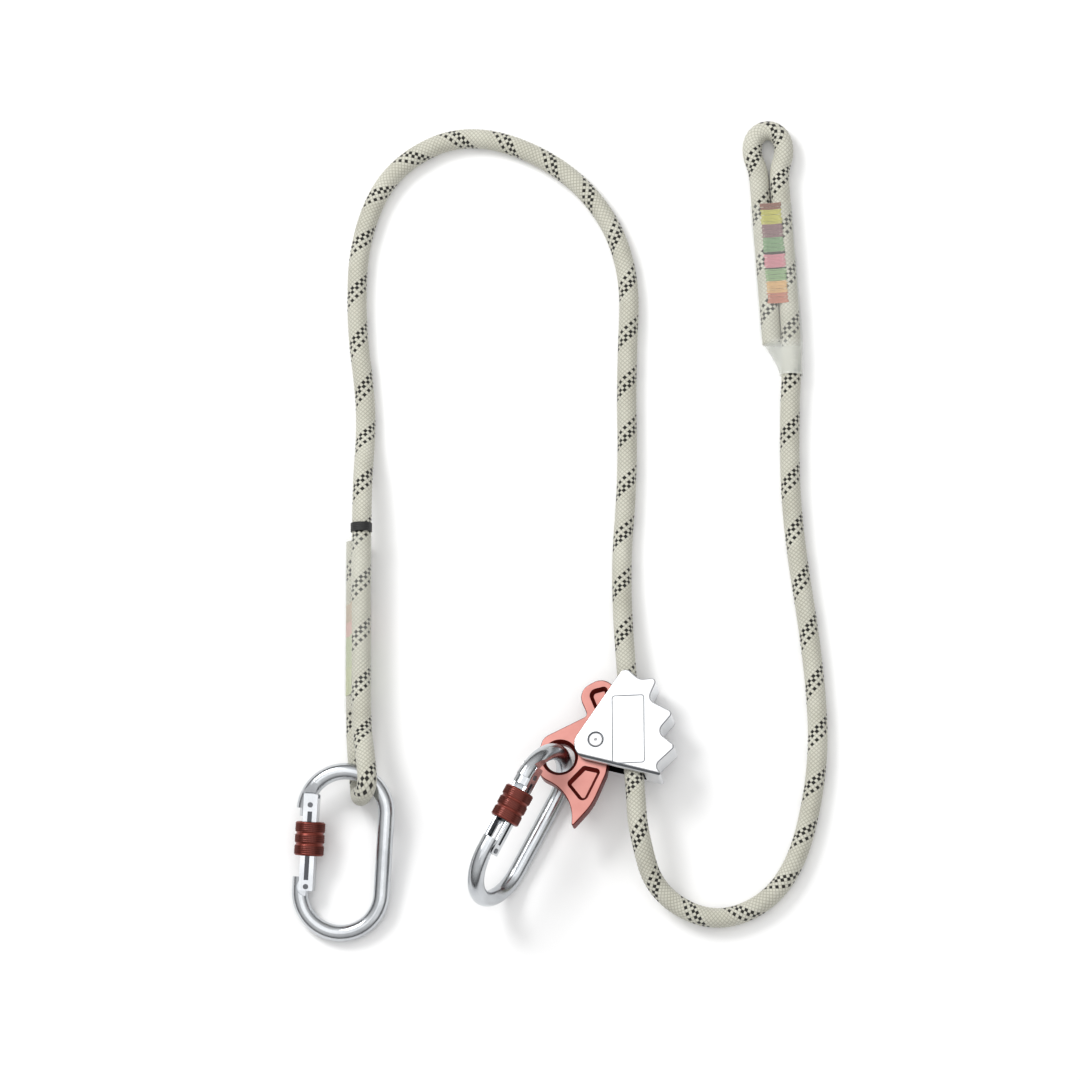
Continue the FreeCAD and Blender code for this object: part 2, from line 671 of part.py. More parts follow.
def connector_place(anchor, bar_angle, x_axis, y_axis):
    """Placement that puts the bar's centre, at an angle from the top, on an anchor point."""
    angle = math.radians(bar_angle)
    local = V(BEND_R * math.sin(angle), STRAIGHT + BEND_R * math.cos(angle), 0)
    turned = frame_of(V(0, 0, 0), x_axis, y_axis)
    return frame_of(anchor - turned.multVec(local), x_axis, y_axis)


# connector one lies in the lower eye, its far end on the floor
ONE_LEAN = math.radians(4.5)
ONE_BAR_ANGLE = 23.6
ONE_REACH = 2 * STRAIGHT + BEND_R * (1 + math.cos(math.radians(ONE_BAR_ANGLE)))
ONE_RISE = math.asin((LOWER_EYE.z - BAR_R) / ONE_REACH)
ONE_PLACE = connector_place(
    LOWER_EYE, ONE_BAR_ANGLE, V(math.cos(ONE_LEAN), -math.sin(ONE_LEAN), 0),
    V(math.sin(ONE_LEAN) * math.cos(ONE_RISE), math.cos(ONE_LEAN) * math.cos(ONE_RISE),
      math.sin(ONE_RISE)))

# connector two stands on its long side, its bar through the cam's hole
TWO_TILT = math.radians(72.0)
TWO_HEADING = math.radians(61.6)
HOLE_POINT = GRAB_PLACE.multVec(V(HOLE_X + 1.2, HOLE_Y + 0.6, 0))
TWO_LIFT = (HOLE_POINT.z - BAR_R) / (BEND_R * math.sin(TWO_TILT)) - 1
TWO_BAR_ANGLE = -math.degrees(math.asin(TWO_LIFT))
TWO_UP = V(math.cos(TWO_HEADING), math.sin(TWO_HEADING), 0)
TWO_ACROSS = V(TWO_UP.y * math.cos(TWO_TILT), -TWO_UP.x * math.cos(TWO_TILT), -math.sin(TWO_TILT))
TWO_PLACE = connector_place(HOLE_POINT, TWO_BAR_ANGLE, TWO_ACROSS, TWO_UP)


def save(name, shape):
    """Write one node."""
    shape.exportStep("parts/" + name + ".step")
    box = shape.BoundBox
    print("%-28s valid %s solids %d  x %.1f..%.1f  y %.1f..%.1f  z %.1f..%.1f"
          % (name, shape.isValid(), len(shape.Solids), box.XMin, box.XMax, box.YMin, box.YMax,
             box.ZMin, box.ZMax))


def placed(shape, place):
    """Copy of a shape at its place."""
    moved = shape.copy()
    moved.transformShape(place.toMatrix())
    return moved


SHAPES = {
    "rope": make_rope(),
    "lower_clear_sleeve": make_lower_sleeve(),
    "lower_stitching": make_lower_seam(),
    "lower_band": make_lower_band(),
    "upper_clear_sleeve": make_upper_sleeve(),
    "upper_stitching": make_upper_seam(),
    "grab_body": placed(make_grab_body(), GRAB_PLACE),
    "cam_axle": placed(make_axle(), GRAB_PLACE),
    "cam_washers": placed(make_washers(), GRAB_PLACE),
    "cam_spring": placed(make_cam_spring(), GRAB_PLACE),
    "cam_lever": placed(make_cam(), GRAB_PLACE),
    "cam_bush": placed(make_cam_bush(), GRAB_PLACE),
}
for piece, maker in CONNECTOR_PIECES.items():
    shape = maker()
    SHAPES["connector_one_" + piece] = placed(shape, ONE_PLACE)
    SHAPES["connector_two_" + piece] = placed(shape, TWO_PLACE)

for name, shape in SHAPES.items():
    save(name, shape)
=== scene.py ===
"""Looks of a work-positioning lanyard with its rope grab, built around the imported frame.

Lengths are in metres; tables of points are in millimetres and are scaled by MM.
The lanyard lies on a floor at z = 0, its legs along Y.
"""

import json
import logging
import math
from dataclasses import dataclass
from enum import Enum
from typing import Optional, Sequence, Union

import bpy
import numpy as np
from mathutils import Matrix, Vector


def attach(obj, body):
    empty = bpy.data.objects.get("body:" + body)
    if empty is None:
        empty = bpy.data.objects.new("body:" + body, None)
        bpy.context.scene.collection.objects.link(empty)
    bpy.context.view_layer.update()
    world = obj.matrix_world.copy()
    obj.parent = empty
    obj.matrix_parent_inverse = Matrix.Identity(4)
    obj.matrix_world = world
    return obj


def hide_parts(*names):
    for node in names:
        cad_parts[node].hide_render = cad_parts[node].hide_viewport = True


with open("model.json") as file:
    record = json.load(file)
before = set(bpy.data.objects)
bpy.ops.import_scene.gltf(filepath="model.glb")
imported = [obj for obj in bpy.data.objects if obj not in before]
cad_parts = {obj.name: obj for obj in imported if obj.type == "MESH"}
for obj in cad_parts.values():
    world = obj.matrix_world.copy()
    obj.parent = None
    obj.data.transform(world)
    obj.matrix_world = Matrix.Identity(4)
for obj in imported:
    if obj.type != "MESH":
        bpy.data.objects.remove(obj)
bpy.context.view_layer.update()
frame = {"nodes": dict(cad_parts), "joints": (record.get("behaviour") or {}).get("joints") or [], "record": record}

LOG = logging.getLogger("lanyard")
MM = 0.001
ROPE_D = 12.0 * MM
ROPE_R = ROPE_D / 2

Value = Union[float, int, tuple, bpy.types.NodeSocket]


# ---------------------------------------------------------------- shared helpers
def srgb(code: str) -> tuple:
    """Turn an sRGB hex colour into linear RGBA.

    Args:
        code: six hex digits after a hash.

    Returns:
        Linear red, green, blue and an alpha of one.
    """
    channels = []
    for start in (1, 3, 5):
        value = int(code[start:start + 2], 16) / 255
        channels.append(value / 12.92 if value <= 0.04045 else ((value + 0.055) / 1.055) ** 2.4)
    return (*channels, 1.0)


def add_node(tree: bpy.types.NodeTree, kind: str, inputs: Optional[dict] = None,
             **settings: object) -> bpy.types.Node:
    """Add one node with its settings and links.

    Args:
        tree: node tree that gets the node.
        kind: node type, such as ShaderNodeMath.
        inputs: socket name or number to a constant or another node's output.
        settings: properties of the node.

    Returns:
        The new node.
    """
    made = tree.nodes.new(kind)
    for name, value in settings.items():
        setattr(made, name, value)
    for key, value in (inputs or {}).items():
        if isinstance(value, bpy.types.NodeSocket):
            tree.links.new(value, made.inputs[key])
        else:
            made.inputs[key].default_value = value
    return made


def link_piece(name: str, data: bpy.types.ID) -> bpy.types.Object:
    """Make an object from its data and put it in the scene."""
    piece = bpy.data.objects.new(name, data)
    bpy.context.scene.collection.objects.link(piece)
    return piece


def smooth(mesh: bpy.types.Mesh) -> None:
    """Shade every face of a mesh smooth."""
    mesh.polygons.foreach_set("use_smooth", [True] * len(mesh.polygons))
    mesh.update()


def grid_mesh(name: str, rows: np.ndarray, closed: bool = True) -> bpy.types.Mesh:
    """Mesh a stack of rings.

    Args:
        name: name of the mesh.
        rows: array of rings by points by three.
        closed: whether the two end rings get a cap.

    Returns:
        A mesh whose faces point outwards for rings that turn left round their direction.
    """
    count, around = rows.shape[:2]
    faces = []
    for row in range(count - 1):
        for k in range(around):
            after = (k + 1) % around
            faces.append((row * around + k, row * around + after,
                          (row + 1) * around + after, (row + 1) * around + k))
    if closed:
        faces.append(tuple(reversed(range(around))))
        faces.append(tuple(range((count - 1) * around, count * around)))
    mesh = bpy.data.meshes.new(name)
    mesh.from_pydata(rows.reshape(-1, 3).tolist(), [], faces)
    smooth(mesh)
    return mesh


def apply_stack(piece: bpy.types.Object) -> None:
    """Replace a piece's mesh with what its modifiers make of it."""
    graph = bpy.context.evaluated_depsgraph_get()
    graph.update()
    done = bpy.data.meshes.new_from_object(piece.evaluated_get(graph))
    piece.modifiers.clear()
    piece.data = done


def transport(points: np.ndarray) -> tuple:
    """Carry a frame along a path without twist.

    Args:
        points: path as an array of points.

    Returns:
        Tangents, and two arrays of unit vectors across the path.
    """
    tangents = np.gradient(points, axis=0)
    tangents /= np.linalg.norm(tangents, axis=1)[:, None]
    side = np.cross(tangents[0], (0.0, 0.0, 1.0))
    side /= np.linalg.norm(side)
    sides = [side]
    for tangent in tangents[1:]:
        side = side - tangent * np.dot(side, tangent)
        side = side / np.linalg.norm(side)
        sides.append(side)
    across = np.array(sides)
    return tangents, across, np.cross(tangents, across)


def resample(points: np.ndarray, step: float) -> np.ndarray:
    """Space a path's points evenly, near a given step."""
    gaps = np.linalg.norm(np.diff(points, axis=0), axis=1)
    along = np.concatenate([[0.0], np.cumsum(gaps)])
    stations = np.linspace(0.0, along[-1], int(round(along[-1] / step)) + 1)
    return np.stack([np.interp(stations, along, points[:, axis]) for axis in range(3)], axis=1)


# ---------------------------------------------------------------- finishes
class Finish:
    """Base of all finishes: makes its material once."""

    name: str = "finish"

    def material(self) -> bpy.types.Material:
        """Return the finish's material, built on first use."""
        found = bpy.data.materials.get(self.name)
        if found is not None:
            return found
        made = bpy.data.materials.new(self.name)
        made.use_nodes = True
        tree = made.node_tree
        shader = tree.nodes["Principled BSDF"]
        self.paint(tree, shader)
        return made

    def paint(self, tree: bpy.types.NodeTree, shader: bpy.types.Node) -> None:
        """Add the finish's nodes and settings."""

    def dress(self, piece: bpy.types.Object) -> None:
        """Put the material on every slot of a piece."""
        slots = piece.material_slots
        if not slots:
            piece.data.materials.append(self.material())
            return
        for slot in slots:
            slot.material = self.material()


@dataclass(frozen=True)
class BraidedSheath(Finish):
    """Polyamide kernmantle sheath: a one-over-one braid of ecru yarns with black tracers.

    The yarns are bundles of fine filament, so they are soft and a little glossy along their length.
    """

    name: str = "braided_polyamide_sheath"
    ecru: str = "#DBDACD"
    # colour mixed in for soiling, which drifts at random, and for painted shade in the grooves
    soil_and_groove_shade: str = "#8D8977"
    tracer: str = "#23221F"
    tracer_yarns: tuple = (0, 2, 3)
    carriers: int = 12
    filaments: int = 4            # bundles of filament seen across one yarn
    groove_start: float = 0.30    # share of a crossing where its groove begins
    groove_slope: float = 5.0
    # painted shade in the grooves round each crossing
    groove_painted_shade: float = 0.55     # how much a groove darkens
    soil_scale: float = 60.0      # soiling drifts over about 17 mm
    fuzz_scale: float = 2600.0    # loose filament every 0.4 mm

    def paint(self, tree: bpy.types.NodeTree, shader: bpy.types.Node) -> None:
        """Colour each yarn crossing from the braid's own coordinates.

        Args:
            tree: node tree of the material.
            shader: its Principled shader.
        """
        def maths(operation: str, first: Value, second: Value = 0.0, third: Value = 0.0) -> Value:
            """Return the output of one Math node."""
            values = {0: first, 1: second, 2: third}
            return add_node(tree, "ShaderNodeMath", values, operation=operation).outputs[0]

        uv = add_node(tree, "ShaderNodeUVMap", uv_map="braid")
        split = add_node(tree, "ShaderNodeSeparateXYZ", {0: uv.outputs[0]})
        right = maths("SUBTRACT", split.outputs["Y"], split.outputs["X"])
        left = maths("ADD", split.outputs["Y"], split.outputs["X"])
        right_yarn = maths("FLOOR", maths("ADD", right, 0.5))
        left_yarn = maths("FLOOR", maths("ADD", left, 0.5))
        right_off = maths("ABSOLUTE", maths("SUBTRACT", right, right_yarn))
        left_off = maths("ABSOLUTE", maths("SUBTRACT", left, left_yarn))
        parity = maths("FLOORED_MODULO", maths("SUBTRACT", left_yarn, right_yarn), 2.0)
        right_over = maths("LESS_THAN", parity, 0.5)
        index = maths("FLOORED_MODULO", right_yarn, float(self.carriers))
        black = 0.0
        for yarn in self.tracer_yarns:
            black = maths("ADD", black, maths("COMPARE", index, float(yarn), 0.25))
        black = maths("MULTIPLY", black, right_over)
        # a groove runs round each crossing, and filaments run along the yarn on top; each groove is also darkened
        # as painted shade
        edge = maths("MAXIMUM", right_off, left_off)
        groove = maths("MULTIPLY", maths("SUBTRACT", edge, self.groove_start), self.groove_slope)
        groove = maths("SMOOTH_MIN", groove, 1.0, 0.1)
        groove = maths("MAXIMUM", groove, 0.0)
        across = add_node(tree, "ShaderNodeMix", {0: right_over, 2: left, 3: right}).outputs[0]
        filament = maths("SINE", maths("MULTIPLY", across, 2 * math.pi * self.filaments))
        place = add_node(tree, "ShaderNodeTexCoord").outputs["Object"]
        soil = add_node(tree, "ShaderNodeTexNoise",
                        {"Vector": place, "Scale": self.soil_scale, "Detail": 3.0})
        fuzz = add_node(tree, "ShaderNodeTexNoise",
                        {"Vector": place, "Scale": self.fuzz_scale, "Detail": 2.0})
        # soiling drifts at random; the grooves get painted shade
        tone = maths("MULTIPLY_ADD", soil.outputs[0], 0.55, -0.12)
        tone = maths("MULTIPLY_ADD", groove, self.groove_painted_shade, tone)
        tone = maths("MULTIPLY_ADD", filament, 0.05, tone)
        pale = add_node(tree, "ShaderNodeMix",
                        {0: tone, 6: srgb(self.ecru), 7: srgb(self.soil_and_groove_shade)}, data_type="RGBA")
        colour = add_node(tree, "ShaderNodeMix",
                          {0: black, 6: pale.outputs[2], 7: srgb(self.tracer)}, data_type="RGBA")
        height = maths("MULTIPLY_ADD", groove, -0.6, 1.0)
        height = maths("MULTIPLY_ADD", filament, 0.10, height)
        height = maths("MULTIPLY_ADD", fuzz.outputs[0], 0.35, height)
        bump = add_node(tree, "ShaderNodeBump",
                        {"Height": height, "Strength": 0.75, "Distance": 0.45 * MM})
        tree.links.new(colour.outputs[2], shader.inputs["Base Color"])
        tree.links.new(bump.outputs[0], shader.inputs["Normal"])
        shader.inputs["Roughness"].default_value = 0.72
        shader.inputs["Sheen Weight"].default_value = 0.25
        shader.inputs["Sheen Roughness"].default_value = 0.5
        shader.inputs["Specular IOR Level"].default_value = 0.3


@dataclass(frozen=True)
class ShrinkTube(Finish):
    """Clear polyolefin tube, shrunk with hot air: soft gloss, rippled by the rope below.

    It is clear where it grips the rope and milky where it is stretched between the legs.
    """

    name: str = "clear_polyolefin_shrink_tube"
    colour: str = "#EDEFE8"
    haze: str = "haze"            # attribute with the opacity of the tube
    ripple_scale: float = 160.0   # a ripple every 6 mm

    def paint(self, tree: bpy.types.NodeTree, shader: bpy.types.Node) -> None:
        """Make a thin clear skin with soft ripples."""
        place = add_node(tree, "ShaderNodeTexCoord").outputs["Object"]
        ripple = add_node(tree, "ShaderNodeTexNoise",
                          {"Vector": place, "Scale": self.ripple_scale, "Detail": 3.0})
        bump = add_node(tree, "ShaderNodeBump",
                        {"Height": ripple.outputs[0], "Strength": 0.35, "Distance": 0.8 * MM})
        rough = add_node(tree, "ShaderNodeMapRange",
                         {"Value": ripple.outputs[0], "To Min": 0.16, "To Max": 0.34})
        haze = add_node(tree, "ShaderNodeAttribute", attribute_name=self.haze)
        tree.links.new(bump.outputs[0], shader.inputs["Normal"])
        tree.links.new(rough.outputs[0], shader.inputs["Roughness"])
        tree.links.new(haze.outputs["Fac"], shader.inputs["Alpha"])
        shader.inputs["Base Color"].default_value = srgb(self.colour)
        shader.inputs["IOR"].default_value = 1.49


@dataclass(frozen=True)
class SewingThread(Finish):
    """Bonded polyester thread: twisted and dyed before sewing, each run in its own colour; some thin dark runs are
    painted shade between blocks.
    """

    name: str = "bonded_polyester_thread"
    tint: str = "thread_colour"   # attribute with the colour of each run
    twist_scale: float = 900.0    # a twist every 1.1 mm

    def paint(self, tree: bpy.types.NodeTree, shader: bpy.types.Node) -> None:
        """Read the colour that each run of thread carries."""
        tint = add_node(tree, "ShaderNodeAttribute", attribute_name=self.tint)
        place = add_node(tree, "ShaderNodeTexCoord").outputs["Object"]
        twist = add_node(tree, "ShaderNodeTexWave",
                         {"Vector": place, "Scale": self.twist_scale, "Distortion": 1.5},
                         bands_direction="DIAGONAL")
        bump = add_node(tree, "ShaderNodeBump",
                        {"Height": twist.outputs[1], "Strength": 0.5, "Distance": 0.1 * MM})
        tree.links.new(tint.outputs[0], shader.inputs["Base Color"])
        tree.links.new(bump.outputs[0], shader.inputs["Normal"])
        shader.inputs["Roughness"].default_value = 0.62
        shader.inputs["Sheen Weight"].default_value = 0.2


class Grain(Enum):
    """How a metal surface was left by its making."""

    BLASTED = "blasted"
    DRAWN = "drawn"
    TURNED = "turned"
    POLISHED = "polished"


@dataclass(frozen=True)
class PaintedShadeBand:
    """Region between two depths from a plane, painted dark as shade."""

    at: tuple                     # point on the plane
    axis: tuple                   # unit vector across the plane
    low: float
    high: float
    colour: str
    side: tuple = (0.0, 0.0, 0.0)     # unit vector that the band is cut off along
    side_end: float = 1.0             # where it is cut off

    def paint_over(self, tree: bpy.types.NodeTree, place: bpy.types.NodeSocket,
                   colour: bpy.types.NodeSocket) -> bpy.types.NodeSocket:
        """Mix the band's colour over another.

        Args:
            tree: node tree of the material.
            place: object coordinates.
            colour: colour outside the band.

        Returns:
            The mixed colour.
        """
        offset = add_node(tree, "ShaderNodeVectorMath", {0: place, 1: self.at},
                          operation="SUBTRACT")
        deep = add_node(tree, "ShaderNodeVectorMath", {0: offset.outputs[0], 1: self.axis},
                        operation="DOT_PRODUCT")
        deep = add_node(tree, "ShaderNodeMath", {0: deep.outputs["Value"]}, operation="ABSOLUTE")
        middle, half = (self.low + self.high) / 2, (self.high - self.low) / 2
        inside = add_node(tree, "ShaderNodeMath", {0: deep.outputs[0], 1: middle, 2: half},
                          operation="COMPARE")
        beside = add_node(tree, "ShaderNodeVectorMath", {0: offset.outputs[0], 1: self.side},
                          operation="DOT_PRODUCT")
        beside = add_node(tree, "ShaderNodeMath", {0: beside.outputs["Value"], 1: self.side_end},
                          operation="LESS_THAN")
        share = add_node(tree, "ShaderNodeMath", {0: inside.outputs[0], 1: beside.outputs[0]},
                         operation="MULTIPLY")
        return add_node(tree, "ShaderNodeMix",
                        {0: share.outputs[0], 6: colour, 7: srgb(self.colour)},
                        data_type="RGBA").outputs[2]


@dataclass(frozen=True)
class Metal(Finish):
    """Metal with a tint, a roughness, the marks of how it was made, and painted shade where it is given."""

    STRETCH = {Grain.BLASTED: (1, 1, 1), Grain.DRAWN: (1, 0.06, 1), Grain.TURNED: (1, 1, 0.2),
               Grain.POLISHED: (1, 0.3, 1)}

    name: str = "metal"
    colour: str = "#C9CACC"
    worn: str = "#B4B5B8"
    metallic: float = 1.0
    roughness: float = 0.3
    spread: float = 0.08          # roughness varies by this much either way
    grain: Grain = Grain.BLASTED
    grain_mm: float = 0.4
    depth_mm: float = 0.02
    coat: float = 0.0
    # painted shade on machined walls
    wall: Optional[str] = None    # colour of machined walls
    wall_axis: tuple = (0.0, 0.0, 1.0)
    # painted shade in the hollows of a knurl
    knurl_painted_shade: Optional[str] = None  # colour in the hollows of a knurl
    drift_scale: float = 70.0     # tint drifts over about 14 mm
    # bands of painted shade
    painted_shade_bands: tuple = ()

    def paint(self, tree: bpy.types.NodeTree, shader: bpy.types.Node) -> None:
        """Add colour drift, roughness drift, a fine grain and any painted shade.

        Args:
            tree: node tree of the material.
            shader: its Principled shader.
        """
        place = add_node(tree, "ShaderNodeTexCoord")
        mapped = add_node(tree, "ShaderNodeMapping",
                          {"Vector": place.outputs["Object"], "Scale": self.STRETCH[self.grain]})
        fine = add_node(tree, "ShaderNodeTexNoise",
                        {"Vector": mapped.outputs[0], "Scale": 1 / (self.grain_mm * MM),
                         "Detail": 4.0})
        broad = add_node(tree, "ShaderNodeTexNoise",
                         {"Vector": place.outputs["Object"], "Scale": self.drift_scale,
                          "Detail": 3.0})
        tone = add_node(tree, "ShaderNodeMapRange",
                        {"Value": broad.outputs[0], "From Min": 0.35, "From Max": 0.7})
        colour = add_node(tree, "ShaderNodeMix", {0: tone.outputs[0], 6: srgb(self.colour),
                                                  7: srgb(self.worn)}, data_type="RGBA").outputs[2]
        if self.wall is not None:
            # painted shade on machined walls, which face across the plate
            facing = add_node(tree, "ShaderNodeVectorMath",
                              {0: place.outputs["Normal"], 1: self.wall_axis},
                              operation="DOT_PRODUCT")
            flat = add_node(tree, "ShaderNodeMath", {0: facing.outputs["Value"]},
                            operation="ABSOLUTE")
            share = add_node(tree, "ShaderNodeMapRange",
                             {"Value": flat.outputs[0], "From Min": 0.84, "From Max": 0.97})
            colour = add_node(tree, "ShaderNodeMix",
                              {0: share.outputs[0], 6: srgb(self.wall), 7: colour},
                              data_type="RGBA").outputs[2]
        if self.knurl_painted_shade is not None:
            # painted shade in the hollows of the knurl
            depth = add_node(tree, "ShaderNodeAttribute", attribute_name="knurl_painted_shade")
            colour = add_node(tree, "ShaderNodeMix",
                              {0: depth.outputs["Fac"], 6: colour, 7: srgb(self.knurl_painted_shade)},
                              data_type="RGBA").outputs[2]
        # painted shade in bands at given depths
        for band in self.painted_shade_bands:
            colour = band.paint_over(tree, place.outputs["Object"], colour)
        rough = add_node(tree, "ShaderNodeMapRange",
                         {"Value": fine.outputs[0], "To Min": self.roughness - self.spread,
                          "To Max": self.roughness + self.spread})
        bump = add_node(tree, "ShaderNodeBump", {"Height": fine.outputs[0], "Strength": 0.4,
                                                 "Distance": self.depth_mm * MM})
        tree.links.new(colour, shader.inputs["Base Color"])
        tree.links.new(rough.outputs[0], shader.inputs["Roughness"])
        tree.links.new(bump.outputs[0], shader.inputs["Normal"])
        shader.inputs["Metallic"].default_value = self.metallic
        shader.inputs["Coat Weight"].default_value = self.coat
        shader.inputs["Coat Roughness"].default_value = 0.2


@dataclass(frozen=True)
class Binding(Finish):
    """Black adhesive-lined binding, shrunk on: dull rubbery surface with fine creases."""

    name: str = "black_heatshrink_binding"
    colour: str = "#242424"
    crease_scale: float = 700.0   # a crease every 1.4 mm

    def paint(self, tree: bpy.types.NodeTree, shader: bpy.types.Node) -> None:
        """Make a dull black skin with creases."""
        place = add_node(tree, "ShaderNodeTexCoord").outputs["Object"]
        crease = add_node(tree, "ShaderNodeTexNoise",
                          {"Vector": place, "Scale": self.crease_scale, "Detail": 4.0})
        bump = add_node(tree, "ShaderNodeBump",
                        {"Height": crease.outputs[0], "Strength": 0.6, "Distance": 0.2 * MM})
        tree.links.new(bump.outputs[0], shader.inputs["Normal"])
        shader.inputs["Base Color"].default_value = srgb(self.colour)
        shader.inputs["Roughness"].default_value = 0.6


# ---------------------------------------------------------------- rope
ROUTE_POINTS = (
    (-79.5, 165.5, 7.7),
    (-79.5, 54.5, 7.7),
    (-78.2, 29.5, 6.4),
    (-76.5, 12.5, 6.3),
    (-75.2, 7.3, 14.2),
    (-72.0, 7.3, 25.4),
    (-67.7, 12.5, 33.3),
    (-69.8, 29.5, 29.4),
    (-74.6, 54.5, 19.2),
    (-74.6, 194.5, 19.2),
    (-74.1, 228.5, 6.0),
    (-74.4, 256.5, 6.0),
    (-80.6, 302.5, 6.0),
    (-79.1, 356.5, 6.0),
    (-58.6, 401.5, 6.0),
    (-8.6, 423.5, 6.0),
    (55.4, 394.5, 6.0),
    (89.9, 339.5, 6.0),
    (86.4, 264.5, 6.0),
    (87.4, 202.5, 6.0),
    (82.28, 140.13, 6.53),
    (88.95, 60.69, 17.73),
    (94.09, -0.48, 26.35),
    (95.62, -18.75, 28.93),
    (104.4, -55.5, 14.0),
    (143.4, -74.0, 6.0),
    (185.4, -50.0, 6.0),
    (202.9, 17.5, 6.0),
    (200.9, 80.5, 6.0),
    (186.9, 172.5, 6.0),
    (186.0, 234.5, 6.0),
    (188.7, 278.5, 7.7),
    (181.9, 374.5, 7.7),
    (181.0, 391.0, 7.7),
    (184.4, 400.5, 7.7),
    (183.5, 410.6, 7.7),
    (177.8, 416.3, 7.7),
    (170.3, 416.1, 7.7),
    (164.9, 410.1, 7.7),
    (164.5, 400.5, 7.7),
    (168.5, 391.0, 7.7),
    (169.6, 373.5, 7.7),
    (176.2, 282.5, 7.7),
)


@dataclass
class Rope:
    """Kernmantle rope along the route's smooth line."""

    row: float = 2.6 * MM          # height of one row of crossings
    carriers: int = 12             # crossings round the rope
    relief: float = 0.34 * MM      # how far a yarn stands over its neighbours
    phase: int = 5                 # rows that the tracer pattern starts ahead

    def line(self) -> np.ndarray:
        """Read the points of the route's NURBS line."""
        curve = bpy.data.curves.new("rope_line", "CURVE")
        curve.dimensions = "3D"
        spline = curve.splines.new("NURBS")
        spline.points.add(len(ROUTE_POINTS) - 1)
        for point, place in zip(spline.points, ROUTE_POINTS):
            point.co = (place[0] * MM, place[1] * MM, place[2] * MM, 1.0)
        spline.order_u = 3
        spline.use_endpoint_u = True
        spline.resolution_u = 40
        helper = link_piece("rope_line", curve)
        bpy.context.view_layer.update()
        mesh = bpy.data.meshes.new_from_object(helper)
        points = np.array([vertex.co[:] for vertex in mesh.vertices])
        bpy.data.objects.remove(helper)
        bpy.data.meshes.remove(mesh)
        bpy.data.curves.remove(curve)
        return points

    def build(self) -> tuple:
        """Make the braided tube.

        Returns:
            The rope's object and the line that it follows.
        """
        path = resample(self.line(), self.row / 2)
        _, across, up = transport(path)
        around = self.carriers * 2
        count = len(path)
        turns = np.arange(around) * 2 * math.pi / around
        rows = np.arange(count)[:, None]
        columns = np.arange(around)[None, :]
        crossing = (rows + columns) % 2 == 0
        radius = ROPE_R + np.where(crossing, 0.0, -1.0) * self.relief
        rings = (path[:, None, :]
                 + across[:, None, :] * (np.cos(turns)[None, :] * radius)[:, :, None]
                 + up[:, None, :] * (np.sin(turns)[None, :] * radius)[:, :, None])
        mesh = grid_mesh("rope", rings)
        layer = mesh.uv_layers.new(name="braid")
        values = np.tile((1.0, 0.0), (len(mesh.loops), 1))      # the sealed ends are plain ecru
        loop = 0
        for row in range(count - 1):
            for k in range(around):
                low, high = k / 2, (k + 1) / 2
                start = row / 2 + self.phase
                values[loop:loop + 4] = ((low, start), (high, start),
                                         (high, start + 0.5), (low, start + 0.5))
                loop += 4
        layer.data.foreach_set("uv", values.ravel())
        piece = link_piece("kernmantle_rope", mesh)
        BraidedSheath().dress(piece)
        return piece, path


def stadium_ring(first: np.ndarray, second: np.ndarray, direction: np.ndarray, radius: float,
                 half_points: int = 10) -> np.ndarray:
    """Ring of points round two legs.

    Args:
        first: centre of one leg.
        second: centre of the other leg.
        direction: unit vector along the legs.
        radius: radius round each leg.
        half_points: points on each end.

    Returns:
        Array of points, turning left round the direction.
    """
    side = second - first
    side = side - direction * np.dot(side, direction)
    length = np.linalg.norm(side)
    side = side / length if length > 1e-6 else np.array((1.0, 0.0, 0.0))
    up = np.cross(direction, side)
    points = []
    for centre, offset in ((second, -math.pi / 2), (first, math.pi / 2)):
        for k in range(half_points):
            turn = offset + math.pi * k / (half_points - 1)
            points.append(centre + radius * (side * math.cos(turn) + up * math.sin(turn)))
    return np.array(points)


# thread colours from the eye downwards, with the share of the seam that each takes; the two thin dark runs are
# painted shade between blocks
THREADS = (("#86503F", 0.07), ("#BFBB58", 0.14), ("#8C6A6F", 0.13), ("#7FA077", 0.15),
           ("#36322E", 0.02), ("#D08C97", 0.13), ("#36322E", 0.02), ("#8FAB7F", 0.11),
           ("#D6B07C", 0.13), ("#C2806C", 0.10))
# rings of the taper: station before the tube's start, and flare in mm
TAPER = ((-0.27, 0.5), (-0.25, 0.0), (-0.17, 0.0), (-0.09, 0.1))
TAPER_START, TAPER_LENGTH, TAPER_CURVE = 0.25, 0.24, 1.2
THREAD_DRIFT = (-0.15, 0.15)          # how far a stitch strays, in rows
THREAD_REACH = (0.92, 1.06)           # how far a stitch reaches, as a share of its span
THREAD_SPAN = 0.52                    # half length of a stitch, as a share of the legs' distance
THREAD_POINTS = 9
THREAD_DIVE_START = 0.75              # beyond this share a stitch goes down into the rope
THREAD_DIVE = 0.3 * MM
THREAD_BRIDGE = 0.80 * ROPE_R         # lowest height of a stitch between the legs
LOWER_THREADS = (("#C4B49F", 0.2), ("#D6B5AC", 0.16), ("#C2C9A9", 0.34), ("#C8CDA8", 0.3))


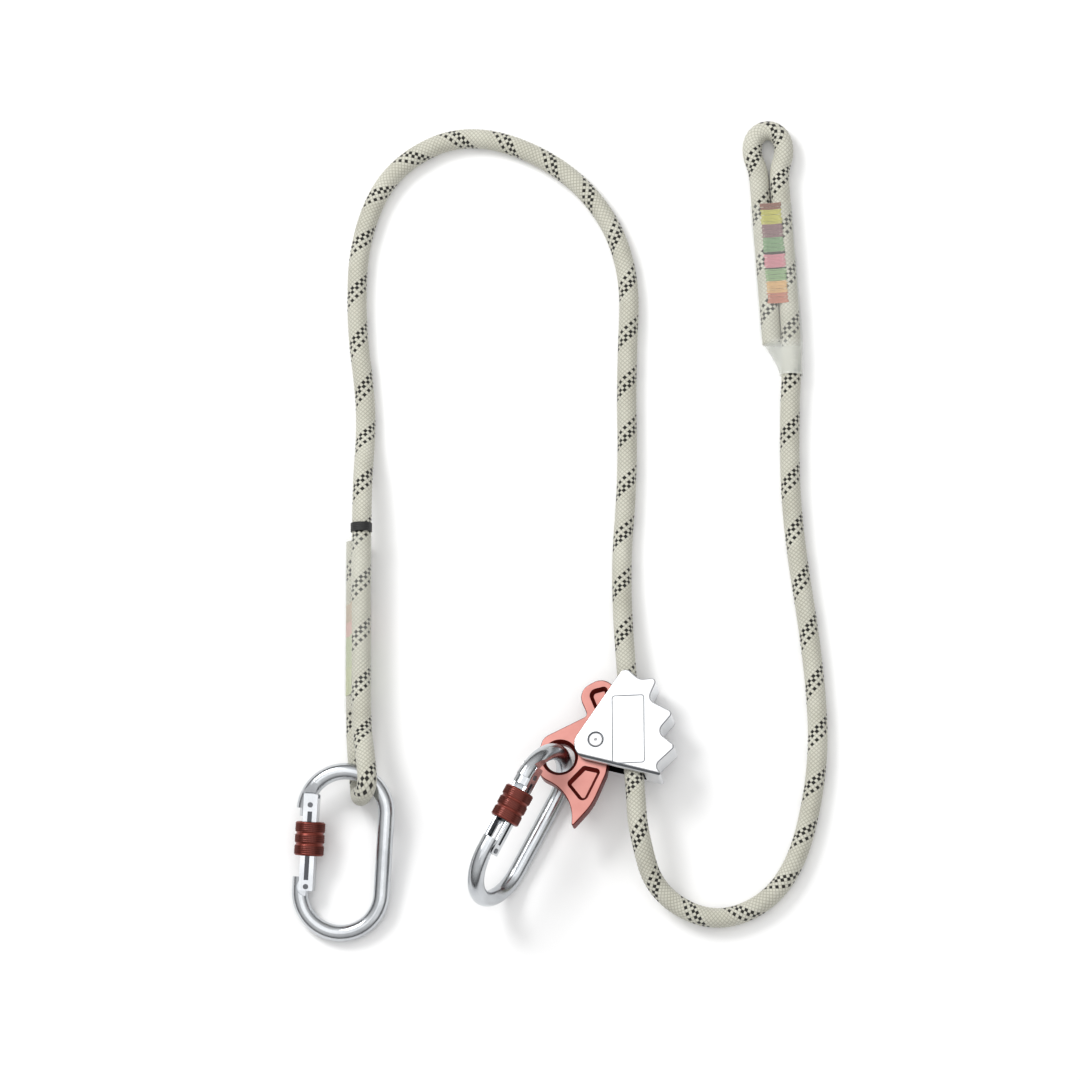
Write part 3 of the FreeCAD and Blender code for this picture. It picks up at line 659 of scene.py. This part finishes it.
@dataclass
class Termination:
    """Sewn end of the rope: two legs, thread blocks through them, and a clear sleeve."""

    name: str
    first: tuple                  # start and end of the tail leg, mm
    second: tuple                 # start and end of the standing leg, mm
    sleeve: tuple                 # stations where the clear sleeve starts and ends, 0 to 1
    seam: tuple                   # stations where the stitching starts and ends, 0 to 1
    colours: tuple = THREADS
    rows: int = 76                # stitches along the seam
    thread_r: float = 0.42 * MM
    wall: float = 0.5 * MM        # of the clear tube
    gap: float = 0.45 * MM        # from the rope to the tube
    stations: int = 13            # rings of the tube over both legs
    wave: float = 0.12 * MM       # how much the tube swells and narrows
    clear: float = 0.07           # opacity where the tube grips the rope
    milky: float = 0.34           # opacity where it is stretched between the legs

    def legs(self, station: float) -> tuple:
        """Centres of the two legs at a station from 0 to 1."""
        first = np.array(self.first) * MM
        second = np.array(self.second) * MM
        return (first[0] + (first[1] - first[0]) * station,
                second[0] + (second[1] - second[0]) * station)

    def direction(self) -> np.ndarray:
        """Unit vector along the legs."""
        run = np.array(self.first[1]) - np.array(self.first[0])
        run = run + np.array(self.second[1]) - np.array(self.second[0])
        return run / np.linalg.norm(run)

    def build_sleeve(self, lip: bool, path: np.ndarray) -> bpy.types.Object:
        """Make the clear sleeve, with a taper and a lip at its start where asked.

        Args:
            lip: whether the sleeve runs on over the standing leg alone.
            path: the rope's line, which the sleeve's end follows.

        Returns:
            The sleeve's object.
        """
        direction = self.direction()
        start, stop = self.sleeve
        rings, haze = [], []
        if lip:
            for share, flare in TAPER:
                near, far = self.legs(start + share)
                level = abs(path[:, 1] - far[1]) < 2 * MM
                beside = abs(path[:, 0] - far[0]) < ROPE_R
                far = path[level & beside].mean(axis=0)
                merge = min(1.0, max(0.0, (share + TAPER_START) / TAPER_LENGTH)) ** TAPER_CURVE
                shifted = far + (near - far) * merge
                rings.append(stadium_ring(shifted, far, direction, ROPE_R + self.gap + flare * MM))
                haze.append(self.milky)
        for k in range(self.stations):
            station = start + (stop - start) * k / (self.stations - 1)
            first, second = self.legs(station)
            swell = self.wave * math.sin(k * 2.1)
            rings.append(stadium_ring(first, second, direction, ROPE_R + self.gap + swell))
            haze.append(self.clear)
        mesh = grid_mesh(self.name + "_sleeve", np.array(rings), closed=False)
        layer = mesh.attributes.new(ShrinkTube.haze, "FLOAT", "POINT")
        layer.data.foreach_set("value", np.repeat(haze, len(rings[0])))
        piece = link_piece(self.name + "_clear_tube", mesh)
        wall = piece.modifiers.new("wall", "SOLIDIFY")
        wall.thickness = self.wall
        wall.offset = 1.0
        round_off = piece.modifiers.new("smooth", "SUBSURF")
        round_off.levels = 2
        round_off.render_levels = 2
        ShrinkTube().dress(piece)
        return piece

    def build_threads(self) -> bpy.types.Object:
        """Make the rows of thread that cross the two legs on both faces.

        Returns:
            One object with all the threads, each with its colour.
        """
        direction = self.direction()
        start, stop = self.seam
        bends, colours = [], []
        limits = np.cumsum([share for _, share in self.colours])
        rng = np.random.default_rng(7)
        for row in range(self.rows):
            block = int(np.searchsorted(limits, (row + 0.5) / self.rows))
            code = self.colours[min(block, len(self.colours) - 1)][0]
            station = stop + (start - stop) * (row + 0.5 + rng.uniform(*THREAD_DRIFT)) / self.rows
            first, second = self.legs(station)
            side = second - first
            gap = np.linalg.norm(side)
            side = side / gap
            up = np.cross(direction, side)
            for face in (1.0, -1.0):
                path = []
                reach = rng.uniform(*THREAD_REACH)
                for share in np.linspace(-1.0, 1.0, THREAD_POINTS):
                    offset = share * THREAD_SPAN * gap * reach
                    from_leg = abs(abs(offset) - gap / 2)
                    height = math.sqrt(max(0.0, ROPE_R ** 2 - from_leg ** 2))
                    lift = height - THREAD_DIVE
                    if abs(share) < THREAD_DIVE_START:
                        lift = max(height, THREAD_BRIDGE)
                    middle = (first + second) / 2
                    path.append(middle + side * offset + up * face * (lift + 0.1 * MM)
                                + direction * share * 0.25 * MM)
                bends.append(np.array(path))
                colours.append(srgb(code))
        return thread_piece(self.name + "_threads", bends, colours, self.thread_r)


def thread_piece(name: str, paths: Sequence[np.ndarray], colours: Sequence[tuple],
                 radius: float) -> bpy.types.Object:
    """Join many short threads into one coloured mesh.

    Args:
        name: name of the piece.
        paths: one array of points for each thread.
        colours: linear colour of each thread.
        radius: thread radius.

    Returns:
        The piece.
    """
    around = 6
    turns = np.arange(around) * 2 * math.pi / around
    vertices, faces, tints = [], [], []
    for path, colour in zip(paths, colours):
        _, across, up = transport(path)
        base = len(vertices)
        for k, centre in enumerate(path):
            for turn in turns:
                spoke = across[k] * math.cos(turn) + up[k] * math.sin(turn)
                vertices.append(centre + radius * spoke)
                tints.append(colour)
        for k in range(len(path) - 1):
            for a in range(around):
                b = (a + 1) % around
                faces.append((base + k * around + a, base + k * around + b,
                              base + (k + 1) * around + b, base + (k + 1) * around + a))
        faces.append(tuple(base + a for a in reversed(range(around))))
        faces.append(tuple(base + (len(path) - 1) * around + a for a in range(around)))
    mesh = bpy.data.meshes.new(name)
    mesh.from_pydata([tuple(v) for v in vertices], [], faces)
    layer = mesh.color_attributes.new(SewingThread.tint, "FLOAT_COLOR", "POINT")
    layer.data.foreach_set("color", np.array(tints).ravel())
    smooth(mesh)
    piece = link_piece(name, mesh)
    SewingThread().dress(piece)
    return piece


@dataclass
class Band:
    """Black binding wound round the standing rope above the lower sleeve."""

    centre: tuple = (-74.6, 169.5, 19.2)     # mm
    around: int = 40
    width: float = 5.5 * MM
    turns: int = 5
    radius: float = ROPE_R + 0.35 * MM
    swell: float = 0.28 * MM
    wall: float = 0.3 * MM

    def build(self) -> bpy.types.Object:
        """Make the wound surface and give it a wall."""
        start = np.array(self.centre) * MM
        rings = []
        steps = self.turns * 6
        angles = np.arange(self.around) * 2 * math.pi / self.around
        for k in range(steps + 1):
            share = k / steps
            wave = abs(math.sin(math.pi * share * self.turns))
            radius = self.radius + self.swell * wave
            middle = start + np.array((0.0, share * self.width, 0.0))
            rings.append(np.stack([middle[0] + radius * np.sin(angles),
                                   np.full(self.around, middle[1]),
                                   middle[2] + radius * np.cos(angles)], axis=1))
        mesh = grid_mesh("lower_wound_binding", np.array(rings), closed=False)
        piece = link_piece("lower_wound_binding", mesh)
        wall = piece.modifiers.new("wall", "SOLIDIFY")
        wall.thickness = self.wall
        wall.offset = -1.0
        Binding().dress(piece)
        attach(piece, "lanyard")
        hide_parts("lower_band")
        return piece


# ---------------------------------------------------------------- places from the frame
def joint(name: str) -> dict:
    """Joint of the record by its name."""
    for found in frame["joints"]:
        if found["name"] == name:
            return found
    raise KeyError(name)


def axes_at(origin: Sequence[float], along: Sequence[float], normal: Sequence[float]) -> Matrix:
    """Matrix whose Y runs along one vector and whose Z is a normal."""
    y = Vector(along).normalized()
    z = Vector(normal).normalized()
    x = y.cross(z).normalized()
    place = Matrix((x, y, z)).transposed().to_4x4()
    place.translation = Vector(origin)
    return place


@dataclass
class ScrewSleeve:
    """Knurled, anodised screw sleeve with two turned grooves."""

    which: str
    radius: float = 9.0 * MM
    bore: float = 7.0 * MM
    length: float = 20.5 * MM
    low: float = 18.7 * MM          # start of the sleeve, from the gate's hinge
    groove: float = 0.8 * MM        # depth of a turned groove
    groove_half: float = 1.15 * MM
    groove_shares: tuple = (0.34, 0.66)
    chamfer: float = 0.8 * MM
    chamfer_slope: float = 0.9
    knurl: float = 0.32 * MM        # depth of the knurl
    knurl_teeth: float = 30.0
    knurl_lead: float = 2.6         # radians of the knurl's wave along a millimetre
    steps: int = 120                # round the sleeve
    rows: int = 56                  # along the sleeve

    def profile(self) -> list:
        """Closed half section: radius and height, the outside from the top down, then the bore."""
        outer = []
        for k in range(self.rows + 1):
            share = k / self.rows
            height = share * self.length
            edge = min(height, self.length - height)
            radius = self.radius - max(0.0, self.chamfer - edge) * self.chamfer_slope
            for centre in self.groove_shares:
                off = abs(share - centre) * self.length / self.groove_half
                if off < 1:
                    radius -= self.groove * math.cos(off * math.pi / 2)
            outer.append((radius, height))
        outer.reverse()
        return outer + [(self.bore, 0.0), (self.bore, self.length)]

    def press_knurl(self, mesh: bpy.types.Mesh) -> None:
        """Press the diamond knurl into the outside, and note how much painted shade each hollow gets.

        Args:
            mesh: the turned sleeve, upright at its own origin.
        """
        knurl_shade_amounts = np.zeros(len(mesh.vertices))
        for vertex in mesh.vertices:
            x, y, z = vertex.co
            radius = math.hypot(x, y)
            if radius < self.bore + 0.4 * MM:
                continue
            turn = math.atan2(y, x) * self.knurl_teeth
            climb = z / MM * self.knurl_lead
            lattice = math.sin(turn + climb) * math.sin(turn - climb)
            edge = min(z, self.length - z)
            fade = min(1.0, max(0.0, (edge - 0.6 * MM) / (0.5 * MM)))
            if radius < self.radius - 0.25 * MM:
                fade = 0.0
            scale = (radius + self.knurl * (lattice - 0.6) * fade) / radius
            vertex.co = (x * scale, y * scale, z)
            knurl_shade_amounts[vertex.index] = fade * min(1.0, max(0.0, 0.45 - lattice))
        layer = mesh.attributes.new("knurl_painted_shade", "FLOAT", "POINT")
        layer.data.foreach_set("value", knurl_shade_amounts)

    def build(self) -> bpy.types.Object:
        """Turn the profile round the gate's axis, then press the knurl in."""
        points = self.profile()
        mesh = bpy.data.meshes.new("screw_sleeve")
        count = len(points)
        edges = [(k, (k + 1) % count) for k in range(count)]
        mesh.from_pydata([(x, 0.0, z) for x, z in points], edges, [])
        piece = link_piece("connector_%s_knurled_sleeve" % self.which, mesh)
        turn = piece.modifiers.new("turn", "SCREW")
        turn.steps = self.steps
        turn.render_steps = self.steps
        turn.use_merge_vertices = True
        turn.merge_threshold = 0.00001
        apply_stack(piece)
        self.press_knurl(piece.data)
        self.place(piece)
        smooth(piece.data)
        # turned, knurled and dyed, with painted shade in the knurl's hollows
        Metal(name="dark_red_anodised_aluminium", colour="#84392D", worn="#6E2C22", metallic=0.7,
              roughness=0.34, grain=Grain.TURNED, coat=0.15, knurl_painted_shade="#3A1712").dress(piece)
        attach(piece, "screw_" + self.which)
        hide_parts("connector_%s_screw_sleeve" % self.which)
        return piece

    def place(self, piece: bpy.types.Object) -> None:
        """Move the mesh from its own origin onto the gate."""
        hinge = joint("gate_%s_open" % self.which)
        travel = joint("screw_%s_travel" % self.which)
        matrix = axes_at(hinge["pos_m"], travel["axis"], hinge["axis"])
        turn = Matrix.Rotation(-math.pi / 2, 4, "X")
        piece.data.transform(matrix @ Matrix.Translation((0, self.low, 0)) @ turn)


# ---------------------------------------------------------------- studio
@dataclass
class Studio:
    """Pale floor, soft lights and the camera."""

    tilt_down: float = math.radians(10.5)     # the camera stands this far towards the lower end
    tilt_right: float = math.radians(7.0)
    distance: float = 4.0
    width: float = 0.6588                     # width of the view at the floor
    look_at: tuple = (0.0327, 0.1657, 0.0)
    light_at: tuple = (0.03, 0.15, 0.0)
    lamps: tuple = (("key", (-1.3, 1.5, 2.0), 1.0, 38.0),      # name, place, size and power
                    ("fill", (1.6, -0.8, 2.4), 2.6, 9.0),
                    ("top", (0.0, 0.3, 3.0), 2.4, 15.0))

    def camera_axes(self) -> tuple:
        """Right, up and backward directions of the camera."""
        back = Vector((math.tan(self.tilt_right), -math.tan(self.tilt_down), 1.0)).normalized()
        north = Vector((0.0, 1.0, 0.0))
        up = (north - back * north.dot(back)).normalized()
        return up.cross(back), up, back

    def build_camera(self) -> None:
        """Place the long-lens camera nearly straight above the floor."""
        right, up, back = self.camera_axes()
        data = bpy.data.cameras.new("studio_camera")
        data.lens = data.sensor_width * self.distance / self.width
        data.clip_end = 20.0
        camera = link_piece("studio_camera", data)
        place = Matrix((right, up, back)).transposed().to_4x4()
        place.translation = Vector(self.look_at) + back * self.distance
        camera.matrix_world = place
        bpy.context.scene.camera = camera

    def build_floor(self) -> None:
        """Lay a pale seamless floor."""
        size = 3.0
        mesh = bpy.data.meshes.new("floor")
        mesh.from_pydata([(-size, -size, 0), (size, -size, 0), (size, size, 0), (-size, size, 0)],
                         [], [(0, 1, 2, 3)])
        floor = link_piece("floor", mesh)
        material = bpy.data.materials.new("white_paper_floor")
        material.use_nodes = True
        shader = material.node_tree.nodes["Principled BSDF"]
        shader.inputs["Base Color"].default_value = srgb("#FCFCFC")
        shader.inputs["Roughness"].default_value = 0.9
        mesh.materials.append(material)

    def build_lights(self) -> None:
        """Hang the soft key at the upper left, and a wide fill."""
        for name, place, size, power in self.lamps:
            data = bpy.data.lights.new(name, "AREA")
            data.size = size
            data.energy = power
            lamp = link_piece(name, data)
            lamp.location = place
            beam = Vector(self.light_at) - Vector(place)
            lamp.rotation_euler = beam.to_track_quat("-Z", "Y").to_euler()
        world = bpy.data.worlds.new("studio")
        bpy.context.scene.world = world
        world.use_nodes = True
        # a bright overhead tent over a darker room, so that polished edges read dark
        tree = world.node_tree
        backdrop = tree.nodes["Background"]
        way = add_node(tree, "ShaderNodeTexCoord").outputs["Generated"]
        height = add_node(tree, "ShaderNodeSeparateXYZ", {0: way}).outputs["Z"]
        glow = add_node(tree, "ShaderNodeMapRange",
                        {"Value": height, "From Min": 0.1, "From Max": 0.72,
                         "To Min": 0.06, "To Max": 0.78})
        seen = add_node(tree, "ShaderNodeLightPath").outputs["Is Camera Ray"]
        strength = add_node(tree, "ShaderNodeMix", {0: seen, 2: glow.outputs[0], 3: 0.92})
        tree.links.new(strength.outputs[0], backdrop.inputs[1])
        backdrop.inputs[0].default_value = srgb("#FFFFFF")


def strip_steel(which: str) -> Metal:
    """Plated strip of one connector's gate, with painted shade on its folds and in its pressed channel."""
    hinge = joint("gate_%s_open" % which)
    # painted shade on the gate's folds and in its pressed channel
    fold_and_channel_shade = PaintedShadeBand(tuple(hinge["pos_m"]), tuple(hinge["axis"]), 4.2 * MM, 4.92 * MM, "#4C4E52")
    # cold-rolled strip, folded, then zinc plated
    return Metal(name="plated_strip_steel_" + which, colour="#D3D6D9", worn="#C3C6CA",
                 roughness=0.2, grain=Grain.DRAWN, grain_mm=0.6, depth_mm=0.006, painted_shade_bands=(fold_and_channel_shade,))


def dress_cad() -> None:
    """Give every shown CAD node its own finish, from its name or else from its slot."""
    pivot = tuple(joint("cam_release")["pos_m"])
    normal = tuple(joint("cam_release")["axis"])
    across = tuple(Vector(joint("grab_slide")["axis"]).cross(Vector(normal)).normalized())
    # forged, blasted and clear anodised; painted shade in the channel and in the engraved lines
    body = Metal(name="silver_anodised_aluminium", colour="#ECEDEF", worn="#DDDFE2", roughness=0.32,
                 grain=Grain.BLASTED, grain_mm=0.3, depth_mm=0.012,
                 painted_shade_bands=(PaintedShadeBand(pivot, normal, 0.0, 6.83 * MM, "#252527", across, 27.4 * MM),
                        PaintedShadeBand(pivot, normal, 9.5 * MM, 10.45 * MM, "#6E7175")))
    # milled, blasted and dyed; machined walls and pockets get painted shade
    cam = Metal(name="red_anodised_aluminium", colour="#C0877F", worn="#B57C74", roughness=0.4,
                metallic=0.85, grain=Grain.BLASTED, grain_mm=0.25, depth_mm=0.012, wall="#6A1C15",
                wall_axis=normal, painted_shade_bands=(PaintedShadeBand(pivot, normal, 1.85 * MM, 4.46 * MM, "#6A1C15"),))
    # bar bent cold, tumbled bright and zinc plated
    plated = Metal(name="zinc_plated_polished_steel", colour="#C9CCCF", worn="#B5B8BC",
                   roughness=0.21, grain=Grain.POLISHED, grain_mm=0.8, depth_mm=0.008)
    # turned on a lathe
    turned = Metal(name="turned_steel", colour="#B9BBBE", worn="#A8AAAE", roughness=0.28,
                   grain=Grain.TURNED, grain_mm=0.3, depth_mm=0.01)
    # ends hammered over, left unplated
    rivet = Metal(name="peened_rivet_steel", colour="#77797D", worn="#5E6064", roughness=0.35,
                  grain=Grain.BLASTED, grain_mm=0.3, depth_mm=0.02)
    # drawn through a die, then coiled
    wire = Metal(name="drawn_spring_steel", colour="#8E9093", worn="#7D7F83", roughness=0.32,
                 grain=Grain.DRAWN, grain_mm=0.2, depth_mm=0.01)
    # pressed powder, oil filled
    bronze = Metal(name="sintered_bronze", colour="#A9793F", worn="#8E6432", roughness=0.5,
                   grain=Grain.BLASTED, grain_mm=0.15, depth_mm=0.02)
    finishes = {"silver_body": body, "red_cam": cam, "plated_steel": plated, "turned_steel": turned,
                "spring_steel": wire, "bronze": bronze}
    for which in ("one", "two"):
        finishes["connector_%s_gate" % which] = strip_steel(which)
        for place in ("hinge", "latch"):
            finishes["connector_%s_gate_%s_rivet" % (which, place)] = rivet
    slots = {part["node"]: part["material_slot"] for part in frame["record"]["subparts"]}
    for node, piece in frame["nodes"].items():
        finish = finishes.get(node, finishes.get(slots[node]))
        if finish is not None:
            finish.dress(piece)


def main() -> None:
    """Build the scene in order and report each piece."""
    logging.basicConfig(level=logging.INFO, format="%(message)s")
    bpy.context.scene.view_settings.view_transform = "Standard"
    studio = Studio()
    studio.build_camera()
    rope, path = Rope().build()
    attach(rope, "lanyard")
    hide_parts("rope")
    lower = Termination("lower", first=((-79.5, 59.5, 7.7), (-79.5, 167.0, 7.7)),
                        second=((-74.6, 59.5, 19.2), (-74.6, 167.0, 19.2)),
                        sleeve=(0.0, 1.0), seam=(0.1, 0.62), colours=LOWER_THREADS)
    upper = Termination("upper", first=((176.1, 284.0, 7.7), (169.9, 369.5, 7.7)),
                        second=((188.5, 284.0, 7.7), (182.2, 369.5, 7.7)),
                        sleeve=(0.02, 1.0), seam=(0.265, 1.0))
    for end, lip in ((lower, False), (upper, True)):
        tube = end.build_sleeve(lip, path)
        threads = end.build_threads()
        for piece, node, slot in ((tube, end.name + "_clear_sleeve", "clear_sleeve"),
                                  (threads, end.name + "_stitching", "stitching")):
            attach(piece, "lanyard")
            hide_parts(node)
        LOG.info("%s end: sleeve and threads", end.name)
    Band().build()
    LOG.info("rope: %d stations", len(path))
    for which in ("one", "two"):
        ScrewSleeve(which).build()
        LOG.info("connector %s: screw sleeve", which)
    dress_cad()
    studio.build_floor()
    studio.build_lights()
    LOG.info("studio ready")


if __name__ == "__main__":
    main()
